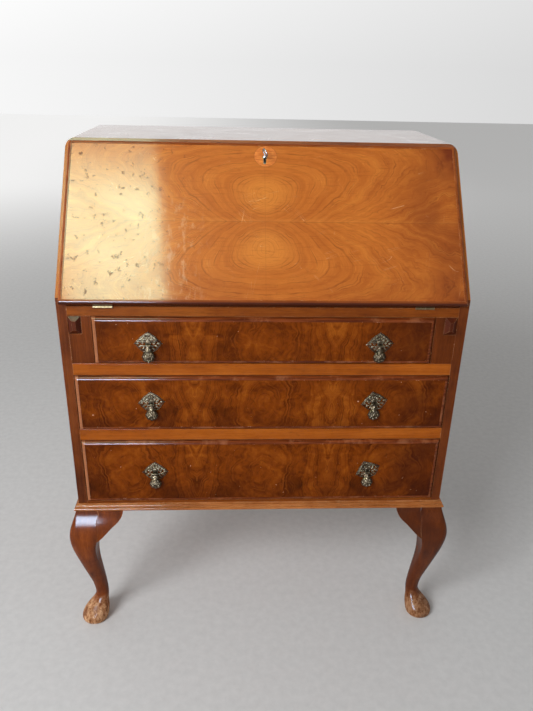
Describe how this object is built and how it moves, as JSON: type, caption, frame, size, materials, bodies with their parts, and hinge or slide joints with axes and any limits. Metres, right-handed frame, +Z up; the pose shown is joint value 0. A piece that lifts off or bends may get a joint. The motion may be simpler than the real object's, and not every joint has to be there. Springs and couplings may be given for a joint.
{
  "type": "secretary desk",
  "caption": "Slant-front writing bureau on cabriole legs, with a hinged fall, pull-out lopers, drawers with drop pulls and a nest of pigeonholes inside.",
  "frame": {"origin": "on the floor under the middle of the whole desk, measured over the knees of the legs", "axes": "+Z up, -Y out of the front of the desk, +X to the right as seen from the front"},
  "size_m": [0.7976, 0.5016, 1.012],
  "materials": {
    "walnut": "gloss",
    "fall_veneer": "gloss",
    "burr_veneer": "gloss",
    "inner_wood": "matte",
    "nest_wood": "satin",
    "pull_brass": "aged",
    "hardware_brass": "satin",
    "lock_steel": "satin",
    "key_nickel": "polished"
  },
  "bodies": {
    "carcase": {"back_panel": "inner_wood", "base_moulding_front": "walnut", "base_moulding_left": "walnut", "base_moulding_right": "walnut", "bottom_board": "inner_wood", "drawer_rail_lower": "walnut", "drawer_rail_upper": "walnut", "drawer_runners_lower": "inner_wood", "drawer_runners_upper": "inner_wood", "glue_blocks": "inner_wood", "hinge_leaves_case": "hardware_brass", "hinge_pins": "hardware_brass", "knee_brackets_front": "walnut", "knee_brackets_rear": "walnut", "leg_front_left": "walnut", "leg_front_right": "walnut", "leg_rear_left": "walnut", "leg_rear_right": "walnut", "leg_screws": "lock_steel", "lock_striker": "hardware_brass", "loper_facing_left": "walnut", "loper_facing_right": "walnut", "loper_guides": "inner_wood", "nest_shelf": "nest_wood", "nest_top": "nest_wood", "nest_uprights": "nest_wood", "side_left": "walnut", "side_right": "walnut", "top_board": "walnut", "top_rail": "walnut", "writing_bed": "walnut"},
    "fall": {"fall_panel": "fall_veneer", "fall_lippings": "walnut", "hinge_leaves_fall": "hardware_brass", "lock_case": "lock_steel", "keyhole_escutcheon": "hardware_brass"},
    "lock_bolt": {"lock_bolt": "lock_steel"},
    "key": {"fall_key": "key_nickel"},
    "loper_left": {"loper_left": "walnut"},
    "loper_right": {"loper_right": "walnut"},
    "drawer_1": {"drawer_1_front": "burr_veneer", "drawer_1_box": "inner_wood", "drawer_1_bottom": "inner_wood", "drawer_1_pull_plates": "pull_brass"},
    "drop_1_left": {"drawer_1_pendant_left": "pull_brass"},
    "drop_1_right": {"drawer_1_pendant_right": "pull_brass"},
    "drawer_2": {"drawer_2_front": "burr_veneer", "drawer_2_box": "inner_wood", "drawer_2_bottom": "inner_wood", "drawer_2_pull_plates": "pull_brass"},
    "drop_2_left": {"drawer_2_pendant_left": "pull_brass"},
    "drop_2_right": {"drawer_2_pendant_right": "pull_brass"},
    "drawer_3": {"drawer_3_front": "burr_veneer", "drawer_3_box": "inner_wood", "drawer_3_bottom": "inner_wood", "drawer_3_pull_plates": "pull_brass"},
    "drop_3_left": {"drawer_3_pendant_left": "pull_brass"},
    "drop_3_right": {"drawer_3_pendant_right": "pull_brass"},
    "nest_drawer_left": {"nest_drawer_left": "nest_wood"},
    "nest_drawer_right": {"nest_drawer_right": "nest_wood"}
  },
  "joints": [
    {"name": "fall_hinge", "type": "hinge", "parent": "carcase", "child": "fall", "pos_m": [0, -0.2285, 0.744], "axis": [1, 0, 0], "range_deg": [0, 127.7]},
    {"name": "key_turn", "type": "hinge", "parent": "fall", "child": "key", "pos_m": [0, -0.06387, 0.9848], "axis": [0, -0.7912, 0.6115], "range_deg": [0, 90]},
    {"name": "bolt_throw", "type": "slide", "parent": "fall", "child": "lock_bolt", "axis": [0, 0.6115, 0.7912], "range_m": [0, 0.0081]},
    {"name": "loper_left_slide", "type": "slide", "parent": "carcase", "child": "loper_left", "axis": [0, -1, 0], "range_m": [0, 0.26]},
    {"name": "loper_right_slide", "type": "slide", "parent": "carcase", "child": "loper_right", "axis": [0, -1, 0], "range_m": [0, 0.26]},
    {"name": "drawer_1_slide", "type": "slide", "parent": "carcase", "child": "drawer_1", "axis": [0, -1, 0], "range_m": [0, 0.32]},
    {"name": "drawer_2_slide", "type": "slide", "parent": "carcase", "child": "drawer_2", "axis": [0, -1, 0], "range_m": [0, 0.32]},
    {"name": "drawer_3_slide", "type": "slide", "parent": "carcase", "child": "drawer_3", "axis": [0, -1, 0], "range_m": [0, 0.32]},
    {"name": "drop_1_left_swing", "type": "hinge", "parent": "drawer_1", "child": "drop_1_left", "pos_m": [-0.2145, -0.2378, 0.6725], "axis": [-1, 0, 0], "range_deg": [0, 85]},
    {"name": "drop_1_right_swing", "type": "hinge", "parent": "drawer_1", "child": "drop_1_right", "pos_m": [0.2145, -0.2378, 0.6725], "axis": [-1, 0, 0], "range_deg": [0, 85]},
    {"name": "drop_2_left_swing", "type": "hinge", "parent": "drawer_2", "child": "drop_2_left", "pos_m": [-0.2145, -0.2378, 0.55], "axis": [-1, 0, 0], "range_deg": [0, 85]},
    {"name": "drop_2_right_swing", "type": "hinge", "parent": "drawer_2", "child": "drop_2_right", "pos_m": [0.2145, -0.2378, 0.55], "axis": [-1, 0, 0], "range_deg": [0, 85]},
    {"name": "drop_3_left_swing", "type": "hinge", "parent": "drawer_3", "child": "drop_3_left", "pos_m": [-0.2145, -0.2378, 0.3925], "axis": [-1, 0, 0], "range_deg": [0, 85]},
    {"name": "drop_3_right_swing", "type": "hinge", "parent": "drawer_3", "child": "drop_3_right", "pos_m": [0.2145, -0.2378, 0.3925], "axis": [-1, 0, 0], "range_deg": [0, 85]},
    {"name": "nest_drawer_left_slide", "type": "slide", "parent": "carcase", "child": "nest_drawer_left", "axis": [0, -1, 0], "range_m": [0, 0.14]},
    {"name": "nest_drawer_right_slide", "type": "slide", "parent": "carcase", "child": "nest_drawer_right", "axis": [0, -1, 0], "range_m": [0, 0.14]}
  ],
  "couplings": [
    {"joint": "bolt_throw", "follows": "key_turn", "m_per_rad": 0.0051}
  ]
}
